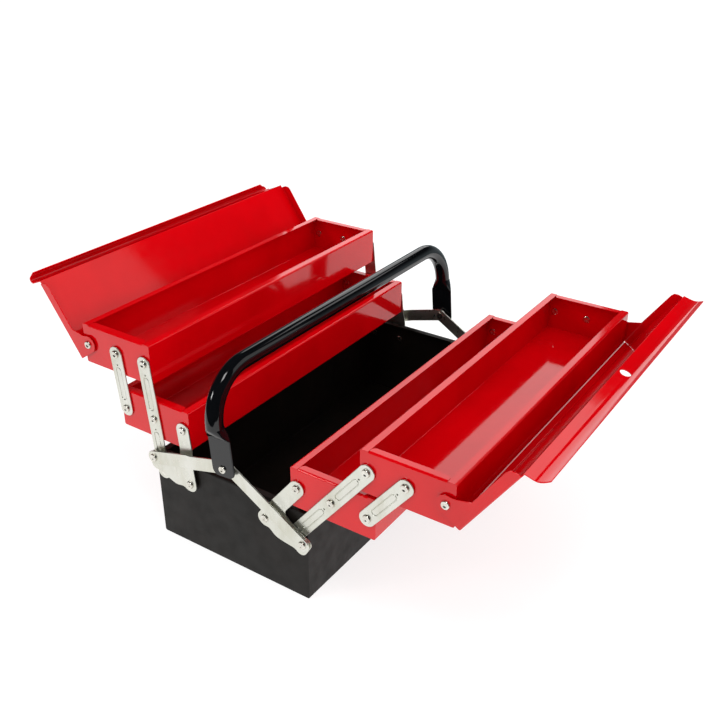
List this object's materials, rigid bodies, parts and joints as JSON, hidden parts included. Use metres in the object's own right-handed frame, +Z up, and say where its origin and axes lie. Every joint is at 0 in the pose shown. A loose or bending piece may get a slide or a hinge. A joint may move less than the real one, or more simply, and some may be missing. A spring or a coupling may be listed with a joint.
{
  "type": "cantilever tool box",
  "caption": "Steel tool box with a deep base, trays that fold out sideways on riveted flat links, hinged lids and a swinging tube handle.",
  "frame": {"origin": "centre of the base's underside", "axes": "+X across the box to the side whose lid has the covering lip, +Y along the box to the rear end, +Z up"},
  "size_m": [0.6029, 0.46, 0.2719],
  "materials": {
    "red_enamel": "gloss red baked enamel",
    "black_enamel": "satin black baked enamel",
    "zinc_plate": "bright zinc plate",
    "rivet_steel": "plated steel, polished",
    "dark_steel": "oiled",
    "black_gloss": "gloss black enamel"
  },
  "bodies": {
    "base": {"base_tub": "black_enamel", "base_front_end": "black_enamel", "base_rear_end": "black_enamel", "base_rivets": "rivet_steel", "crank_bushes": "dark_steel"},
    "right_crank": {"right_front_crank": "zinc_plate", "right_rear_crank": "zinc_plate", "right_arm_rivets": "rivet_steel", "right_arm_washers": "zinc_plate"},
    "right_long_link": {"right_front_long_link": "zinc_plate", "right_rear_long_link": "zinc_plate"},
    "right_lower_tray": {"lower_right_trough": "red_enamel", "lower_right_front_end": "red_enamel", "lower_right_rear_end": "red_enamel", "lower_right_rivets": "rivet_steel"},
    "right_short_link": {"right_front_short_link": "zinc_plate", "right_rear_short_link": "zinc_plate"},
    "right_upper_tray": {"upper_right_trough": "red_enamel", "upper_right_front_end": "red_enamel", "upper_right_rear_end": "red_enamel", "upper_right_rivets": "rivet_steel"},
    "right_lid": {"right_lid": "red_enamel"},
    "right_arm": {"right_front_arm": "zinc_plate", "right_rear_arm": "zinc_plate", "handle_rivet_tails": "rivet_steel"},
    "left_crank": {"left_front_crank": "zinc_plate", "left_rear_crank": "zinc_plate", "left_arm_rivets": "rivet_steel", "left_arm_washers": "zinc_plate"},
    "left_long_link": {"left_front_long_link": "zinc_plate", "left_rear_long_link": "zinc_plate"},
    "left_lower_tray": {"lower_left_trough": "red_enamel", "lower_left_front_end": "red_enamel", "lower_left_rear_end": "red_enamel", "lower_left_rivets": "rivet_steel"},
    "left_short_link": {"left_front_short_link": "zinc_plate", "left_rear_short_link": "zinc_plate"},
    "left_upper_tray": {"upper_left_trough": "red_enamel", "upper_left_front_end": "red_enamel", "upper_left_rear_end": "red_enamel", "upper_left_rivets": "rivet_steel"},
    "left_lid": {"left_lid": "red_enamel"},
    "left_arm": {"left_front_arm": "zinc_plate", "left_rear_arm": "zinc_plate", "handle_rivets": "rivet_steel"},
    "handle": {"handle": "black_gloss"}
  },
  "joints": [
    {"name": "fold", "type": "hinge", "parent": "base", "child": "right_crank", "pos_m": [0.05, 0, 0.083], "axis": [0, -1, 0], "range_deg": [0, 76.9]},
    {"name": "right_long_link_fold", "type": "hinge", "parent": "base", "child": "right_long_link", "pos_m": [0.09025, 0, 0.083], "axis": [0, -1, 0], "range_deg": [0, 76.9]},
    {"name": "right_lower_tray_level", "type": "hinge", "parent": "right_crank", "child": "right_lower_tray", "pos_m": [0.08922, 0, 0.1323], "axis": [0, 1, 0], "range_deg": [0, 76.9]},
    {"name": "right_short_link_fold", "type": "hinge", "parent": "right_lower_tray", "child": "right_short_link", "pos_m": [0.16972, 0, 0.1323], "axis": [0, -1, 0], "range_deg": [0, 76.9]},
    {"name": "right_upper_tray_level", "type": "hinge", "parent": "right_short_link", "child": "right_upper_tray", "pos_m": [0.20894, 0, 0.18161], "axis": [0, 1, 0], "range_deg": [0, 76.9]},
    {"name": "right_lid_hinge", "type": "hinge", "parent": "right_upper_tray", "child": "right_lid", "pos_m": [0.24919, 0, 0.18161], "axis": [0, -1, 0], "range_deg": [0, 124]},
    {"name": "left_crank_fold", "type": "hinge", "parent": "base", "child": "left_crank", "pos_m": [-0.05, 0, 0.083], "axis": [0, 1, 0], "range_deg": [0, 44.1]},
    {"name": "left_long_link_fold", "type": "hinge", "parent": "base", "child": "left_long_link", "pos_m": [-0.09025, 0, 0.083], "axis": [0, 1, 0], "range_deg": [0, 44.1]},
    {"name": "left_lower_tray_level", "type": "hinge", "parent": "left_crank", "child": "left_lower_tray", "pos_m": [-0.05626, 0, 0.14569], "axis": [0, -1, 0], "range_deg": [0, 44.1]},
    {"name": "left_short_link_fold", "type": "hinge", "parent": "left_lower_tray", "child": "left_short_link", "pos_m": [-0.13676, 0, 0.14569], "axis": [0, 1, 0], "range_deg": [0, 44.1]},
    {"name": "left_upper_tray_level", "type": "hinge", "parent": "left_short_link", "child": "left_upper_tray", "pos_m": [-0.14301, 0, 0.20838], "axis": [0, -1, 0], "range_deg": [0, 44.1]},
    {"name": "left_lid_hinge", "type": "hinge", "parent": "left_upper_tray", "child": "left_lid", "pos_m": [-0.18326, 0, 0.20838], "axis": [0, 1, 0], "range_deg": [0, 124]},
    {"name": "right_arm_swing", "type": "hinge", "parent": "right_crank", "child": "right_arm", "pos_m": [0.09916, 0, 0.07389], "axis": [0, 1, 0], "range_deg": [0, 94.76]},
    {"name": "left_arm_swing", "type": "hinge", "parent": "left_crank", "child": "left_arm", "pos_m": [-0.09626, 0, 0.10197], "axis": [0, -1, 0], "range_deg": [0, 78.32]},
    {"name": "handle_swing", "type": "hinge", "parent": "left_arm", "child": "handle", "pos_m": [0.00751, 0, 0.13006], "axis": [0, 1, 0], "range_deg": [-20, 60]}
  ],
  "couplings": [
    {"joint": "right_long_link_fold", "follows": "fold", "ratio": 1},
    {"joint": "right_lower_tray_level", "follows": "fold", "ratio": 1},
    {"joint": "right_short_link_fold", "follows": "fold", "ratio": 1},
    {"joint": "right_upper_tray_level", "follows": "fold", "ratio": 1},
    {"joint": "left_crank_fold", "follows": "fold", "ratio": 0.57347},
    {"joint": "left_long_link_fold", "follows": "fold", "ratio": 0.57347},
    {"joint": "left_lower_tray_level", "follows": "fold", "ratio": 0.57347},
    {"joint": "left_short_link_fold", "follows": "fold", "ratio": 0.57347},
    {"joint": "left_upper_tray_level", "follows": "fold", "ratio": 0.57347},
    {"joint": "right_arm_swing", "follows": "fold", "ratio": 1.2322},
    {"joint": "left_arm_swing", "follows": "fold", "ratio": 1.0184}
  ]
}
